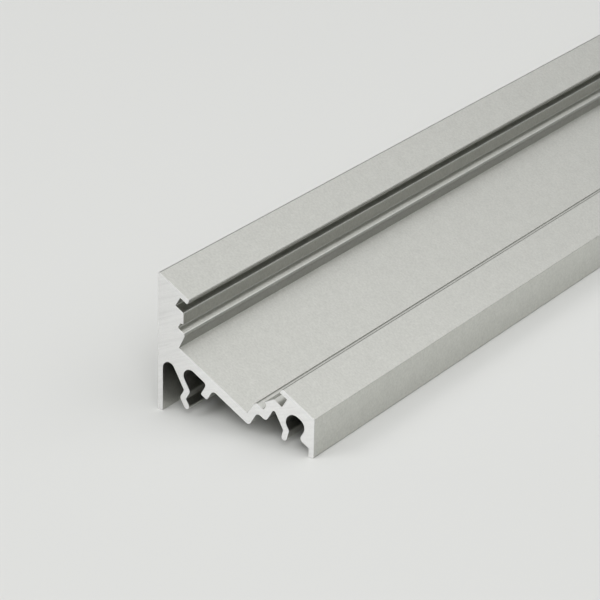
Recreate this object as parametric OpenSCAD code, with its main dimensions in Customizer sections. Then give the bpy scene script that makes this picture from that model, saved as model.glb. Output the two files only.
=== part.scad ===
// Corner profile for a light strip: one piece of extruded stock.
// The length runs along Y. X goes across the two feet, from the back wall to the
// front wall. The origin is on the floor, at the middle of the box round the profile.

/* [Stock] */
// Length of the cut piece
stock_l = 1000; // [200:50:3000]

/* [Section] */
// Width across the feet, from the back face to the front face
section_w = 20.6; // [19.8:0.1:26]
// Height of the front wall
front_h = 4.63; // [4:0.01:7]
// Slope of the strip seat from the floor, in degrees
seat_angle = 30; // [27:0.5:33]
// Thickness of both walls where they stand on the floor
wall_t = 0.7; // [0.5:0.05:1]
// Thickness of the web under the strip seat
web_t = 1.1; // [0.8:0.05:1.4]
// Thickness of the wall that steps round the front side of the trough
step_t = 0.96; // [0.8:0.02:1.1]

/* [Light trough] */
// Width of the strip seat
seat_w = 10.45; // [9.5:0.05:11]
// Depth of the seat below the top faces
trough_d = 5.83; // [5.4:0.01:6.4]
// Height of the ledge above the seat, at its groove
ledge_h = 1.96; // [1.6:0.02:2.1]
// Fall of the ledge's top towards the seat, in degrees
ledge_fall = 1; // [0:0.5:8]
// Rounding of the ledge
ledge_r = 0.38; // [0.2:0.02:0.5]
// Outward lean of the trough's sides, in degrees
side_lean = 3.5; // [0:0.5:8]

/* [Cover slots] */
// Distance between the bottoms of the two slots
cover_span = 16.2; // [15.8:0.1:16.6]
// Height of a slot
slot_h = 1.22; // [0.9:0.02:1.4]
// Thickness of the lip over a slot
lip_t = 0.62; // [0.5:0.02:0.9]
// Reach of the lip over its slot
lip_reach = 1.08; // [0.7:0.02:1.2]
// Rounding of the upper edge of a lip
lip_r = 0.2; // [0.04:0.02:0.3]
// Reach of the shoulder under a slot, outward from the edge of the seat
shoulder_out = 1.63; // [1.4:0.01:1.8]
// Rounding of the shoulder
shoulder_r = 0.15; // [0.05:0.05:0.3]

/* [Click grooves] */
// Height of the round click groove
groove_h = 0.82; // [0.8:0.02:1.1]
// Reach of the click groove, outward from the edge of the seat
groove_out = 1.33; // [1.15:0.01:1.5]

/* [Feet and clip legs] */
// Height of the legs and of the front boss above the floor
foot_h = 1.05; // [0.8:0.05:1.3]
// Thickness of a clip leg
leg_t = 0.74; // [0.6:0.02:0.9]
// Distance from the back face to the bend of the back leg
back_leg_x = 3.96; // [3.7:0.02:4.2]
// Height of the bend of the back leg
back_leg_z = 3.25; // [3:0.05:3.5]
// Length of the back leg's stretch that leans inward
back_leg_jog = 1.12; // [0.9:0.02:1.4]
// Distance from the front face to the bend of the front leg
front_leg_x = 3.6; // [3.4:0.02:3.8]
// Height of the bend of the front leg
front_leg_z = 2.3; // [2.1:0.05:2.5]
// Lean of the front leg's hook, in degrees from upright
front_hook_lean = 15; // [5:1:30]

/* [Pockets under the web] */
// Thickness of the rib under the web
rib_t = 1; // [0.8:0.05:1.2]
// Height of the rib under the web
rib_h = 1.55; // [1.2:0.05:1.8]
// Distance of the rib's middle from the middle of the seat, down the slope
rib_u = 0.14; // [-0.2:0.02:0.6]
// Rounding of the pocket between the back wall and the back leg
back_pocket_r = 0.78; // [0.5:0.02:0.9]
// Rounding of the pocket between the back leg and the web
clip_pocket_r = 0.85; // [0.5:0.05:1]
// Rounding of the pocket behind the front wall
front_pocket_r = 1; // [0.7:0.05:1.1]
// Thickness of the metal over the front pocket
front_roof_t = 1.4; // [1.2:0.02:1.5]
// Thickness of the front wall beside its pocket
front_wall_t = 1.3; // [1.1:0.05:1.5]

/* [Back face grooves] */
// Number of shallow grooves along the back face
back_groove_n = 3; // [1:1:4]
// Distance from one groove to the next
back_groove_pitch = 1.47; // [1.2:0.01:1.7]
// Height of the lowest groove
back_groove_z = 6.83; // [5:0.01:8]
// Width of a groove
back_groove_w = 1.1; // [0.6:0.05:1.15]
// Depth of a groove
back_groove_d = 0.2; // [0.1:0.02:0.3]

/* [Edges] */
// Rounding of the outer edges of the feet
foot_r = 0.25; // [0.1:0.05:0.3]
// Rounding of the top edge of the back face
top_r = 0.2; // [0.05:0.05:0.4]
// Rounding of the edges that are left sharp by the die
sharp_r = 0.08; // [0.04:0.02:0.12]
// Rounding of the outside of bends and of the steps under the trough
bend_out_r = 0.45; // [0.3:0.05:0.55]
// Rounding of the inside of bends and of the rib
bend_in_r = 0.2; // [0.1:0.05:0.3]
// Rounding of the front boss
boss_r = 0.5; // [0.3:0.05:0.6]

/* [Hidden] */

// Turn between two points of an arc of 1 mm radius, in degrees
arc_step = 11;
// Most of a side that the roundings at its two ends may take
side_share = 0.98;

// Directions in the section: down the slope, out of the seat, and down a clip leg
slope = [cos(seat_angle), -sin(seat_angle)];
out = [sin(seat_angle), cos(seat_angle)];
leg_down = [sin(seat_angle), -cos(seat_angle)];
upright = [0, 1];

// Heights above the seat
groove_top = ledge_h + groove_h;
slot_top = trough_d - lip_t;
slot_floor = slot_top - slot_h;
step_v = ledge_h - step_t;

// Distances from the middle of the seat
seat_u = seat_w / 2;
ledge_u = seat_u + ledge_h * tan(side_lean);
groove_u = seat_u + groove_out;
ledge_edge_h = ledge_h - (groove_u - ledge_u) * tan(ledge_fall);
shoulder_u = seat_u + shoulder_out;
shoulder_foot_u = shoulder_u - (slot_floor - groove_top) * tan(seat_angle);
slot_u = cover_span / 2;
lip_u = slot_u - lip_reach;

// The top faces lie on one slope, and the seat is centred below them
back_h = front_h + section_w * tan(seat_angle);
top_middle = [section_w / 2, (back_h + front_h) / 2];
seat_middle = top_middle - trough_d * out;

// Unit vector along v
function unit(v) = v / norm(v);

// Vector v turned a quarter turn to the left
function left_of(v) = [-v.y, v.x];

// Vector v turned by an angle
function turned(v, angle) = [v.x * cos(angle) - v.y * sin(angle), v.x * sin(angle) + v.y * cos(angle)];

// Point where the line through p along d meets the line through q along e
function meet(p, d, q, e) = p + d * cross(q - p, e) / cross(d, e);

// Point at u down the slope and v above the seat
function on_seat(u, v) = seat_middle + u * slope + v * out;

// A corner of an outline: its place and its rounding
function corner(p, r) = [p.x, p.y, r];

// Order of a list turned round
function reversed(list) = [for (i = [len(list) - 1 : -1 : 0]) list[i]];

// Points of the arc that rounds a corner at p, between the unit vectors back and
// on to its neighbours, where run is the length that the arc takes of each side
function arc_points(p, back, on, run) =
    let (
        half = acos(back * on) / 2,
        r = run * tan(half),
        centre = p + unit(back + on) * run / cos(half),
        turn = (180 - 2 * half) * sign(cross(on, back)),
        steps = max(1, ceil(abs(turn) * sqrt(r) / arc_step)),
        start = p + back * run - centre
    )
    [for (i = [0 : steps]) centre + turned(start, turn * i / steps)];

// Points of an outline with every corner rounded, where two roundings that don't
// fit on the side between them share it
function rounded(corners) =
    let (
        n = len(corners),
        last = n - 1,
        at = [for (c = corners) [c.x, c.y]],
        back = [for (i = [0 : last]) unit(at[(i + last) % n] - at[i])],
        on = [for (i = [0 : last]) unit(at[(i + 1) % n] - at[i])],
        side = [for (i = [0 : last]) norm(at[(i + 1) % n] - at[i])],
        wanted = [for (i = [0 : last]) corners[i][2] / tan(acos(back[i] * on[i]) / 2)],
        fit = [for (i = [0 : last]) side_share * side[i] / (wanted[i] + wanted[(i + 1) % n])]
    )
    [
        for (i = [0 : last])
            each arc_points(at[i], back[i], on[i], wanted[i] * min(1, fit[i], fit[(i + last) % n]))
    ];

// Corners along one side of a strip that follows a path, at a distance from it
function strip_side(path, distance) = [
    for (i = [1 : len(path) - 2])
        let (
            from = unit(path[i] - path[i - 1]),
            to = unit(path[i + 1] - path[i]),
            mitre = (left_of(from) + left_of(to)) / (1 + from * to),
            inside = cross(from, to) * distance > 0
        )
        corner(path[i] + distance * mitre, inside ? bend_in_r : bend_out_r)
];

// Corners of a strip's round end
function strip_end(path, distance) =
    let (
        last = len(path) - 1,
        along = unit(path[last] - path[last - 1]),
        tip = path[last] + along * abs(distance)
    )
    [
        corner(tip + left_of(along) * distance, abs(distance)),
        corner(tip - left_of(along) * distance, abs(distance))
    ];

// Corners of a clip leg, down its front side, round its tip and up its back side
function leg_corners(path) = concat(
    strip_side(path, leg_t / 2),
    strip_end(path, leg_t / 2),
    reversed(strip_side(path, -leg_t / 2))
);

// Point on the front or back side of a leg's upper stretch
function leg_side(path, side) = path[1] + side * left_of(leg_down) * leg_t / 2;

// Paths of the clip legs, from inside the metal to the middle of the round tip
leg_tip_z = foot_h + leg_t / 2;
back_bend = [back_leg_x, back_leg_z];
back_jog = back_bend - out * back_leg_jog;
back_leg = [
    back_bend - leg_down,
    back_bend,
    back_jog,
    meet(back_jog, leg_down, [0, leg_tip_z], [1, 0])
];
front_bend = [section_w - front_leg_x, front_leg_z];
front_hook = [-sin(front_hook_lean), -cos(front_hook_lean)];
front_leg = [
    front_bend - leg_down,
    front_bend,
    meet(front_bend, front_hook, [0, leg_tip_z], [1, 0])
];

// Corners of one side of the trough, from the edge of the seat up to the top face.
// The front side is 1 and the back side is -1.
function trough_side(side) = [
    for (c = [
        [seat_u, 0, sharp_r],
        [ledge_u, ledge_edge_h, ledge_r],
        [groove_u, ledge_h, bend_in_r],
        [groove_u, groove_top, groove_h / 2],
        [shoulder_foot_u, groove_top, sharp_r],
        [shoulder_u, slot_floor, shoulder_r],
        [slot_u, slot_floor, sharp_r],
        [slot_u, slot_top, sharp_r],
        [lip_u, slot_top, sharp_r],
        [lip_u, trough_d, lip_r]
    ])
        corner(on_seat(side * c[0], c[1]), c[2])
];

// Corners of the pocket behind the front wall, from the foot up to the front leg
front_foot = [section_w - wall_t, 0];
boss_foot = [section_w - wall_t, foot_h];
pocket_roof = on_seat(0, trough_d - front_roof_t);
pocket_rest = [section_w - front_wall_t - front_pocket_r, 0];
pocket_round = meet(pocket_roof - front_pocket_r * out, slope, pocket_rest, upright);
pocket_side = pocket_round + front_pocket_r * slope;
front_pocket = [
    corner(front_foot, sharp_r),
    corner(boss_foot, sharp_r),
    corner(meet(boss_foot, slope, pocket_side, out), boss_r),
    corner(meet(pocket_side, out, pocket_roof, slope), front_pocket_r),
    corner(meet(pocket_roof, slope, leg_side(front_leg, 1), leg_down), front_pocket_r)
];

// Corners under the front side of the trough, from the front leg back to the web
step_foot = on_seat(groove_u + step_t, step_v);
trough_steps = [
    corner(meet(leg_side(front_leg, -1), leg_down, step_foot, out), bend_in_r),
    corner(step_foot, bend_out_r),
    corner(on_seat(seat_u + step_t, step_v), bend_out_r),
    corner(on_seat(seat_u + step_t, -web_t), bend_out_r)
];

// Corners under the web, from the rib back to the back leg
web_under = [
    corner(on_seat(rib_u + rib_t / 2, -web_t), bend_out_r),
    corner(on_seat(rib_u + rib_t / 2, -web_t - rib_h), bend_in_r),
    corner(on_seat(rib_u - rib_t / 2, -web_t - rib_h), bend_in_r),
    corner(on_seat(rib_u - rib_t / 2, -web_t), bend_out_r),
    corner(meet(on_seat(0, -web_t), slope, leg_side(back_leg, 1), leg_down), clip_pocket_r)
];

// Corners between the back leg and the back wall
back_pocket = [
    corner(meet(leg_side(back_leg, -1), leg_down, [wall_t, 0], upright), back_pocket_r),
    corner([wall_t, 0], sharp_r)
];

// Corners of the shallow grooves along the back face, upward
back_grooves = [
    for (i = [0 : back_groove_n - 1], c = [[0, -back_groove_w / 2], [back_groove_d, 0], [0, back_groove_w / 2]])
        corner([c.x, back_groove_z + i * back_groove_pitch + c.y], bend_in_r)
];

// The whole outline, clockwise from the foot of the back wall
outline = concat(
    [corner([0, 0], foot_r)],
    back_grooves,
    [corner([0, back_h], top_r)],
    reversed(trough_side(-1)),
    trough_side(1),
    [corner([section_w, front_h], sharp_r), corner([section_w, 0], foot_r)],
    front_pocket,
    leg_corners(front_leg),
    trough_steps,
    web_under,
    leg_corners(back_leg),
    back_pocket
);

// The piece of stock: the rounded outline along the whole length
module corner_profile() {
    color("silver")
        rotate([90, 0, 0])
            linear_extrude(height = stock_l, center = true)
                translate([-section_w / 2, 0])
                    polygon(rounded(outline));
}

corner_profile();
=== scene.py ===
"""Dresses one length of corner profile for a light strip.

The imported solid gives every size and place. The profile is satin anodised aluminium stock, sawn
bare at both ends, and it lies on a pale floor under a soft studio light. Lengths are in metres.
"""

import logging
import math
from dataclasses import dataclass, field
from enum import Enum
from typing import Any

import bmesh
import bpy
from mathutils import Matrix, Vector


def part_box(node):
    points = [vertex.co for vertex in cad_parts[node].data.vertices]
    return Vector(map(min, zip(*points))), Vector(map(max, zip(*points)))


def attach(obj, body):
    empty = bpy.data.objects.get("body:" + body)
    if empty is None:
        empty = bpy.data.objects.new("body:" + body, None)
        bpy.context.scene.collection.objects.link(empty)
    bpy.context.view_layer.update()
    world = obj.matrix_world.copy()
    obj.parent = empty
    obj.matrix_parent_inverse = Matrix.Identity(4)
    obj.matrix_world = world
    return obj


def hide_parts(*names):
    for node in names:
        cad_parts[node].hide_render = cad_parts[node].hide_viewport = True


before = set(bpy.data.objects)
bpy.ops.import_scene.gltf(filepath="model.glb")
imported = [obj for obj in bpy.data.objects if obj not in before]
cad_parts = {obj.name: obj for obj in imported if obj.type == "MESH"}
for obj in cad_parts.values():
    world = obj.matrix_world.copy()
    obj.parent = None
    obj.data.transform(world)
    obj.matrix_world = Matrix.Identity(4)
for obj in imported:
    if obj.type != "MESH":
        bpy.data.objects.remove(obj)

LOG = logging.getLogger("profile_scene")
MM = 0.001
MICRON = 0.000001

Colour = tuple[float, float, float]
Triple = tuple[float, float, float]

# Sockets of a Mix node for colours, by number because their names repeat
MIX_FIRST = 6
MIX_SECOND = 7
MIX_RESULT = 2


class CutEnd(Enum):
    """The two sawn ends, by the side of the origin that they lie on along the length."""

    NEAR = -1
    FAR = 1


class Surface(Enum):
    """The finishes of the profile, by their place among its material slots."""

    ANODISED = 0
    SAWN = 1
    BURR = 2


class Value:
    """A number that varies over a surface, where Python's operators add Math nodes."""

    def __init__(self, tree: "ShaderTree", socket: bpy.types.NodeSocket) -> None:
        """Wraps an output socket.

        Args:
            tree: The tree that holds the socket.
            socket: The output socket that gives the number.
        """
        self.tree = tree
        self.socket = socket

    def __add__(self, other: "Value | float") -> "Value":
        """Adds a number."""
        return self.tree.maths("ADD", self, other)

    __radd__ = __add__

    def __sub__(self, other: "Value | float") -> "Value":
        """Takes a number away."""
        return self.tree.maths("SUBTRACT", self, other)

    def __rsub__(self, other: float) -> "Value":
        """Takes this value away from a number."""
        return self.tree.maths("SUBTRACT", other, self)

    def __mul__(self, other: "Value | float") -> "Value":
        """Multiplies by a number."""
        return self.tree.maths("MULTIPLY", self, other)

    __rmul__ = __mul__

    def between(self, low: float, high: float) -> "Value":
        """Runs smoothly from 0 to 1 while this value runs from low to high.

        Args:
            low: The value that gives 0.
            high: The value that gives 1.

        Returns:
            The share of the way from low to high, kept between 0 and 1.
        """
        settings = {"interpolation_type": "SMOOTHSTEP"}
        inputs = {"Value": self, "From Min": low, "From Max": high}
        return Value(self.tree, self.tree.node("ShaderNodeMapRange", settings, inputs).outputs["Result"])


class ShaderTree:
    """A material's or the world's node tree, with short ways to add nodes to it."""

    def __init__(self, owner: bpy.types.Material | bpy.types.World) -> None:
        """Empties the owner's node tree and keeps it.

        Args:
            owner: The material or world that the tree belongs to.
        """
        owner.use_nodes = True
        self.tree = owner.node_tree
        self.tree.nodes.clear()

    def node(self, kind: str, settings: dict[str, Any], inputs: dict[str | int, Any]) -> bpy.types.Node:
        """Adds a node.

        Args:
            kind: The node's type.
            settings: The node's own settings, which are set before its sockets.
            inputs: What goes into its sockets: a Value, an output socket or a plain value.

        Returns:
            The new node.
        """
        made = self.tree.nodes.new(kind)
        for name, setting in settings.items():
            setattr(made, name, setting)
        for name, given in inputs.items():
            source = given.socket if isinstance(given, Value) else given
            if isinstance(source, bpy.types.NodeSocket):
                self.tree.links.new(source, made.inputs[name])
            else:
                made.inputs[name].default_value = source
        return made

    def maths(self, operation: str, *terms: Value | float) -> Value:
        """Adds a Math node.

        Args:
            operation: The node's operation.
            *terms: The numbers that it works on.

        Returns:
            The result.
        """
        made = self.node("ShaderNodeMath", {"operation": operation}, dict(enumerate(terms)))
        return Value(self, made.outputs[0])

    def place(self) -> bpy.types.NodeSocket:
        """Gives the Object coordinates, which are the row frame in metres."""
        return self.node("ShaderNodeTexCoord", {}, {}).outputs["Object"]

    def stretched(self, place: bpy.types.NodeSocket, scale: Triple) -> bpy.types.NodeSocket:
        """Stretches coordinates.

        Args:
            place: The coordinates.
            scale: The factor along each axis.

        Returns:
            The stretched coordinates.
        """
        return self.node("ShaderNodeMapping", {}, {"Vector": place, "Scale": scale}).outputs["Vector"]

    def noise(self, place: bpy.types.NodeSocket, size: float, detail: float) -> Value:
        """Adds soft noise.

        Args:
            place: The coordinates, in metres.
            size: The size of its spots, in metres.
            detail: How many finer layers it has.

        Returns:
            The noise, round about 0 and mostly within 0.25 of it.
        """
        made = self.node("ShaderNodeTexNoise", {}, {"Vector": place, "Scale": 1.0 / size, "Detail": detail})
        return Value(self, made.outputs["Fac"]) - 0.5

    def blended(
        self, share: Value, first: Colour | bpy.types.NodeSocket, second: Colour
    ) -> bpy.types.NodeSocket:
        """Mixes two colours.

        Args:
            share: How much of the second colour there is, from 0 to 1.
            first: The colour at 0, plain or from a socket.
            second: The colour at 1.

        Returns:
            The mixed colour.
        """
        start = first if isinstance(first, bpy.types.NodeSocket) else (*first, 1.0)
        inputs = {"Factor": share, MIX_FIRST: start, MIX_SECOND: (*second, 1.0)}
        made = self.node("ShaderNodeMix", {"data_type": "RGBA"}, inputs)
        return made.outputs[MIX_RESULT]

    def relief(self, height: Value, depth: float) -> bpy.types.NodeSocket:
        """Turns a height into a surface normal.

        Args:
            height: The height, where 1 stands for the full depth.
            depth: The full depth, in metres.

        Returns:
            The normal.
        """
        inputs = {"Height": height, "Distance": depth, "Strength": 1.0}
        return self.node("ShaderNodeBump", {}, inputs).outputs["Normal"]

    def surface(self, inputs: dict[str, Any]) -> None:
        """Ends a material in a Principled shader.

        Args:
            inputs: What goes into the shader's sockets.
        """
        shader = self.node("ShaderNodeBsdfPrincipled", {}, inputs)
        self.node("ShaderNodeOutputMaterial", {}, {"Surface": shader.outputs["BSDF"]})


@dataclass(frozen=True)
class AnodisedFinish:
    """Satin anodised aluminium: an even etched grain with very faint lines from the die."""

    light: Colour = (0.66, 0.664, 0.626)
    dark: Colour = (0.55, 0.554, 0.52)
    metallic: float = 1.0
    roughness: float = 0.31
    grain_size: float = 0.26 * MM
    mottle_size: float = 1.6 * MM
    line_size: float = 0.35 * MM
    line_stretch: float = 0.004
    line_share: float = 0.1
    grain_share: float = 1.7
    mottle_share: float = 0.6
    middle_tone: float = 0.5
    mottle_dulling: float = 0.06
    grain_gloss: float = 0.05
    grain_depth: float = 4 * MICRON

    def material(self) -> bpy.types.Material:
        """Builds the finish.

        Returns:
            The material.
        """
        made = bpy.data.materials.new("satin_anodised")
        tree = ShaderTree(made)
        place = tree.place()
        grain = tree.noise(place, self.grain_size, detail=2.0)
        mottle = tree.noise(place, self.mottle_size, detail=2.0)
        drawn = tree.stretched(place, (1.0, self.line_stretch, 1.0))
        lines = tree.noise(drawn, self.line_size, detail=1.0)
        tone = self.middle_tone + grain * self.grain_share + mottle * self.mottle_share
        tone = tone + lines * self.line_share
        tree.surface({
            "Base Color": tree.blended(tone, self.dark, self.light),
            "Metallic": self.metallic,
            "Roughness": self.roughness + mottle * self.mottle_dulling - grain * self.grain_gloss,
            "Normal": tree.relief(grain + lines * self.line_share, self.grain_depth),
        })
        return made


@dataclass(frozen=True)
class SawnFinish:
    """Bare sawn aluminium, its colour darker towards the back wall.

    Its long marks and a few thin scores curve round the middle of the saw blade.
    """

    light: Colour = (0.95, 0.95, 0.94)
    dark: Colour = (0.745, 0.745, 0.735)
    metallic: float = 0.6
    roughness: float = 0.5
    blade_radius: float = 150 * MM
    blade_lean: float = math.radians(23)
    mark_size: float = 0.4 * MM
    mark_stretch: float = 0.06
    mark_depth: float = 9 * MICRON
    score_from: float = 0.09
    score_to: float = 0.17
    score_share: float = 0.37
    grain_size: float = 0.12 * MM
    darker_to: float = -10 * MM
    bright_from: float = -1 * MM
    bright_share: float = 0.45
    back_tone: float = 0.26
    mark_share: float = 1.1
    grain_share: float = 0.45
    mark_gloss: float = 0.15
    grain_relief: float = 0.2

    def material(self) -> bpy.types.Material:
        """Builds the finish.

        Returns:
            The material.
        """
        made = bpy.data.materials.new("sawn_bare")
        tree = ShaderTree(made)
        place = tree.place()
        right = self.blade_radius * math.sin(self.blade_lean)
        down = self.blade_radius * math.cos(self.blade_lean)
        inputs = {0: place, 1: (right, 0.0, -down)}
        spoke = tree.node("ShaderNodeVectorMath", {"operation": "SUBTRACT"}, inputs).outputs["Vector"]
        flat = tree.stretched(spoke, (1.0, 0.0, 1.0))
        reach = tree.node("ShaderNodeVectorMath", {"operation": "LENGTH"}, {0: flat}).outputs["Value"]
        along = tree.node("ShaderNodeSeparateXYZ", {}, {"Vector": flat}).outputs["X"]
        stretched = Value(tree, along) * self.mark_stretch
        track = tree.node("ShaderNodeCombineXYZ", {}, {"X": reach, "Y": stretched}).outputs["Vector"]
        marks = tree.noise(track, self.mark_size, detail=3.0)
        grain = tree.noise(place, self.grain_size, detail=2.0)
        scores = marks.between(self.score_from, self.score_to) * self.score_share
        across = Value(tree, tree.node("ShaderNodeSeparateXYZ", {}, {"Vector": place}).outputs["X"])
        # The colour runs from darker at the back wall to lighter at the middle, and stays lighter out to
        # the front wall.
        bright = across.between(self.darker_to, self.bright_from) * self.bright_share
        tone = self.back_tone + bright + marks * self.mark_share + grain * self.grain_share - scores
        tree.surface({
            "Base Color": tree.blended(tone, self.dark, self.light),
            "Metallic": self.metallic,
            "Roughness": self.roughness - marks * self.mark_gloss,
            "Normal": tree.relief(marks + grain * self.grain_relief - scores, self.mark_depth),
        })
        return made


@dataclass(frozen=True)
class BurrFinish:
    """The bright broken edge round a sawn end."""

    light: Colour = (0.72, 0.72, 0.71)
    dark: Colour = (0.585, 0.585, 0.575)
    roughness: float = 0.55
    nick_size: float = 0.4 * MM
    middle_tone: float = 0.7
    nick_dulling: float = 0.2

    def material(self) -> bpy.types.Material:
        """Builds the finish.

        Returns:
            The material.
        """
        made = bpy.data.materials.new("burr_edge")
        tree = ShaderTree(made)
        nicks = tree.noise(tree.place(), self.nick_size, detail=2.0)
        tree.surface({
            "Base Color": tree.blended(self.middle_tone + nicks, self.dark, self.light),
            "Metallic": 1.0,
            "Roughness": self.roughness + nicks * self.nick_dulling,
        })
        return made


@dataclass(frozen=True)
class FloorFinish:
    """Matt pale sheet under the profile."""

    colour: Colour = (0.658, 0.663, 0.648)
    roughness: float = 0.85
    specular: float = 0.2

    def material(self) -> bpy.types.Material:
        """Builds the finish.

        Returns:
            The material.
        """
        made = bpy.data.materials.new("pale_floor")
        ShaderTree(made).surface({
            "Base Color": (*self.colour, 1.0),
            "Roughness": self.roughness,
            "Specular IOR Level": self.specular,
        })
        return made


@dataclass
class ProfileStock:
    """The cut length of profile, with a broken edge round both sawn ends."""

    node: str = "corner_profile"
    name: str = "sawn_profile"
    merge_gap: float = 0.5 * MICRON
    flat_angle: float = math.radians(0.05)
    rim_width: float = 0.035 * MM
    length_cuts: int = 24
    smooth_angle: float = math.radians(42)
    square_lean: float = 0.999
    slant_lean: float = 0.1
    finishes: dict[Surface, AnodisedFinish | SawnFinish | BurrFinish] = field(default_factory=lambda: {
        Surface.ANODISED: AnodisedFinish(),
        Surface.SAWN: SawnFinish(),
        Surface.BURR: BurrFinish(),
    })

    def build(self) -> bpy.types.Object:
        """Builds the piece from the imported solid.

        Returns:
            The finished piece, which stands for the solid.
        """
        low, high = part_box(self.node)
        piece = self._merged_copy()
        for end, y in ((CutEnd.NEAR, low.y), (CutEnd.FAR, high.y)):
            self._break_rim(piece, end, y)
        self._divide_length(piece)
        self._dress(piece)
        self._smooth(piece)
        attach(piece, "root")
        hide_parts(self.node)
        return piece

    def _merged_copy(self) -> bpy.types.Object:
        """Copies the solid's loose triangles and merges them into whole faces.

        Returns:
            The copy, which is the active object.
        """
        bpy.ops.object.select_all(action="DESELECT")
        piece = bpy.data.objects.new(self.name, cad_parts[self.node].data.copy())
        bpy.context.scene.collection.objects.link(piece)
        piece.select_set(True)
        bpy.context.view_layer.objects.active = piece
        bpy.ops.object.mode_set(mode="EDIT")
        bpy.ops.mesh.select_all(action="SELECT")
        bpy.ops.mesh.remove_doubles(threshold=self.merge_gap)
        bpy.ops.mesh.dissolve_limited(angle_limit=self.flat_angle)
        bpy.ops.object.mode_set(mode="OBJECT")
        return piece

    def _select_faces(self, piece: bpy.types.Object, normal: Vector) -> None:
        """Selects, in edit mode, the faces that face one way, and nothing else.

        Args:
            piece: The piece, in edit mode.
            normal: The way that the wanted faces face.
        """
        mesh = bmesh.from_edit_mesh(piece.data)
        bpy.ops.mesh.select_all(action="DESELECT")
        for face in mesh.faces:
            face.select_set(face.normal.dot(normal) > self.square_lean)
        bmesh.update_edit_mesh(piece.data)

    def _break_rim(self, piece: bpy.types.Object, end: CutEnd, y: float) -> None:
        """Sets the rim of a sawn end back by a narrow chamfer.

        Args:
            piece: The piece.
            end: The end to work on.
            y: The place of that end along the length.
        """
        bpy.ops.object.mode_set(mode="EDIT")
        bpy.ops.mesh.select_mode(type="FACE")
        self._select_faces(piece, Vector((0.0, end.value, 0.0)))
        bpy.ops.transform.translate(value=(0.0, -end.value * self.rim_width, 0.0))
        bpy.ops.mesh.inset(thickness=self.rim_width, depth=self.rim_width, use_even_offset=True)
        bpy.ops.object.mode_set(mode="OBJECT")
        LOG.info("rim of the %s end at %.4f m", end.name.lower(), y)

    def _divide_length(self, piece: bpy.types.Object) -> None:
        """Divides the long faces along the length.

        Args:
            piece: The piece.
        """
        bpy.ops.object.mode_set(mode="EDIT")
        bpy.ops.mesh.select_mode(type="EDGE")
        bpy.ops.mesh.select_all(action="DESELECT")
        mesh = bmesh.from_edit_mesh(piece.data)
        half = max(vertex.co.y for vertex in mesh.verts)
        for edge in mesh.edges:
            first, last = (vertex.co.y for vertex in edge.verts)
            edge.select_set(abs(first - last) > half)
        bmesh.update_edit_mesh(piece.data)
        bpy.ops.mesh.subdivide(number_cuts=self.length_cuts)
        bpy.ops.object.mode_set(mode="OBJECT")

    def _dress(self, piece: bpy.types.Object) -> None:
        """Gives each face its finish.

        Args:
            piece: The piece.
        """
        piece.data.materials.clear()
        for surface in Surface:
            piece.data.materials.append(self.finishes[surface].material())
        for face in piece.data.polygons:
            lean = abs(face.normal.y)
            if lean > self.square_lean:
                face.material_index = Surface.SAWN.value
            elif lean > self.slant_lean:
                face.material_index = Surface.BURR.value
            else:
                face.material_index = Surface.ANODISED.value

    def _smooth(self, piece: bpy.types.Object) -> None:
        """Shades the rounded edges smooth and keeps the flat faces flat.

        Args:
            piece: The piece.
        """
        bpy.ops.object.shade_smooth_by_angle(angle=self.smooth_angle)
        modifier = piece.modifiers.new("flat_faces", "WEIGHTED_NORMAL")
        modifier.keep_sharp = True
        bpy.ops.object.modifier_apply(modifier=modifier.name)


@dataclass(frozen=True)
class SoftBox:
    """A square lamp that faces the middle of the floor."""

    name: str
    place: Triple
    size: float
    power: float

    def hang(self) -> bpy.types.Object:
        """Adds the lamp.

        Returns:
            The lamp.
        """
        bpy.ops.object.light_add(type="AREA", location=self.place)
        lamp = bpy.context.active_object
        lamp.name = self.name
        lamp.rotation_euler = (-Vector(self.place)).to_track_quat("-Z", "Y").to_euler()
        lamp.data.shape = "SQUARE"
        lamp.data.size = self.size
        lamp.data.energy = self.power
        return lamp


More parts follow.
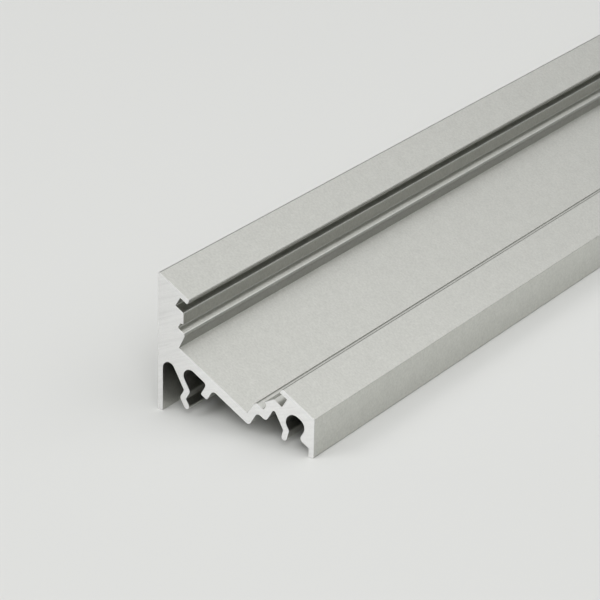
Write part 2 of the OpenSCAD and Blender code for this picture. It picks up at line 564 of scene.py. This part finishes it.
@dataclass
class Studio:
    """The pale floor, the soft light round the profile and the camera."""

    floor_size: float = 16.0
    floor_finish: FloorFinish = field(default_factory=FloorFinish)
    sky_low: Colour = (0.04, 0.04, 0.04)
    sky_high: Colour = (1.04, 1.04, 1.04)
    sky_from: float = 0.15
    sky_to: float = 0.75
    shade_from: float = 0.05
    shade_to: float = -0.4
    shade_share: float = 0.5
    background: Colour = (0.72, 0.725, 0.705)
    backdrop_top: float = 0.12
    key: SoftBox = SoftBox("right_softbox", place=(1.0, -1.9, 1.7), size=1.2, power=20.0)
    fill: SoftBox = SoftBox("left_softbox", place=(-1.0, -1.9, 1.5), size=1.2, power=18.0)
    window: SoftBox = SoftBox("side_window", place=(0.9, 1.5, 1.5), size=0.8, power=1.4)
    camera_place: Triple = (160.29 * MM, -731.67 * MM, 141.32 * MM)
    camera_heading: float = math.radians(33.302)
    camera_dip: float = math.radians(23.993)
    camera_roll: float = math.radians(1.303)
    focal_length: float = 174.50
    sensor_width: float = 36.0
    nearest: float = 10 * MM

    def lay_floor(self) -> bpy.types.Object:
        """Lays the floor under the profile.

        Returns:
            The floor.
        """
        bpy.ops.object.select_all(action="DESELECT")
        bpy.ops.mesh.primitive_plane_add(size=self.floor_size)
        floor = bpy.context.active_object
        floor.name = "floor"
        floor.data.materials.append(self.floor_finish.material())
        return floor

    def light(self) -> None:
        """Adds the lamps and the room light, which is brighter above and darker past the back wall.

        The camera sees the pale background in place of the room. Metal and glass see it up to the
        backdrop's top, and the room over that.
        """
        world = bpy.data.worlds.new("studio")
        bpy.context.scene.world = world
        tree = ShaderTree(world)
        ray = tree.node("ShaderNodeTexCoord", {}, {}).outputs["Generated"]
        parts = tree.node("ShaderNodeSeparateXYZ", {}, {"Vector": ray}).outputs
        shade = Value(tree, parts["X"]).between(self.shade_from, self.shade_to) * self.shade_share
        glow = Value(tree, parts["Z"]).between(self.sky_from, self.sky_to) * (1.0 - shade)
        sky = tree.blended(glow, self.sky_low, self.sky_high)
        rays = tree.node("ShaderNodeLightPath", {}, {}).outputs
        camera = Value(tree, rays["Is Camera Ray"])
        mirrored = Value(tree, rays["Is Glossy Ray"]) + Value(tree, rays["Is Transmission Ray"])
        backdrop = Value(tree, parts["Z"]).between(self.backdrop_top, 0.0)
        shown = tree.blended(camera + mirrored * backdrop, sky, self.background)
        shader = tree.node("ShaderNodeBackground", {}, {"Color": shown, "Strength": 1.0})
        tree.node("ShaderNodeOutputWorld", {}, {"Surface": shader.outputs["Background"]})
        for box in (self.key, self.fill, self.window):
            lamp = box.hang()
            LOG.info("%s: %.0f W", lamp.name, box.power)

    def place_camera(self) -> bpy.types.Object:
        """Places the camera in front of the near end, a little to its right and looking down on it.

        Returns:
            The camera.
        """
        turn = (Matrix.Rotation(self.camera_heading, 4, "Z")
                @ Matrix.Rotation(math.pi / 2 - self.camera_dip, 4, "X")
                @ Matrix.Rotation(self.camera_roll, 4, "Z"))
        bpy.ops.object.camera_add()
        camera = bpy.context.active_object
        camera.matrix_world = Matrix.Translation(self.camera_place) @ turn
        camera.data.sensor_width = self.sensor_width
        camera.data.lens = self.focal_length
        camera.data.clip_start = self.nearest
        bpy.context.scene.camera = camera
        return camera


def main() -> None:
    """Builds the dressed profile and its studio."""
    logging.basicConfig(level=logging.INFO)
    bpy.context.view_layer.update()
    bpy.context.scene.view_settings.view_transform = "Standard"
    stock = ProfileStock().build()
    LOG.info("%s: %d faces", stock.name, len(stock.data.polygons))
    studio = Studio()
    floor = studio.lay_floor()
    LOG.info("%s: %.0f m wide", floor.name, studio.floor_size)
    studio.light()
    camera = studio.place_camera()
    LOG.info("%s: %.0f mm lens", camera.name, camera.data.lens)


if __name__ == "__main__":
    main()
